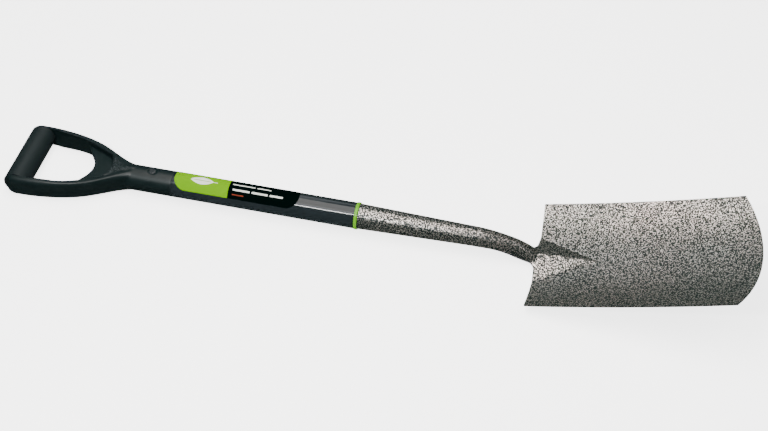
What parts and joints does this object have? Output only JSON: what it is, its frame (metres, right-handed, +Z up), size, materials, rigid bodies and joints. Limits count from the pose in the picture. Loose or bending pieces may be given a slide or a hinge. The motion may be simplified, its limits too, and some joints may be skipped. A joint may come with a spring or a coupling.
{
  "type": "garden spade",
  "caption": "Digging spade with a moulded D handle, a sleeved steel shaft, a green collar ring and a dished steel blade in a hammered finish.",
  "frame": {"origin": "middle of the floor area that the spade covers as it lies face up, at floor level", "axes": "+X towards the blade's tip, +Y across the blade, +Z up out of the blade's face"},
  "size_m": [0.999, 0.1926, 0.0903],
  "materials": {
    "hammered_paint": "hammered enamel, light grey over dark grey-green, satin",
    "tube_steel": "plain drawn tube",
    "sleeve_plastic": "glossy dark grey",
    "ring_plastic": "glossy green",
    "handle_plastic": "matte charcoal with a fine mould texture",
    "grip_soft": "soft satin charcoal",
    "rivet_steel": "dark coated steel",
    "socket_rivet_paint": "enamelled with the blade",
    "label_film": "printed film, green and black"
  },
  "bodies": {
    "root": {"blade": "hammered_paint", "shaft_tube": "tube_steel", "shaft_sleeve": "sleeve_plastic", "collar_ring": "ring_plastic", "handle_body": "handle_plastic", "grip_sleeve": "grip_soft", "handle_rivet": "rivet_steel", "socket_rivet": "socket_rivet_paint", "label": "label_film"}
  },
  "joints": []
}
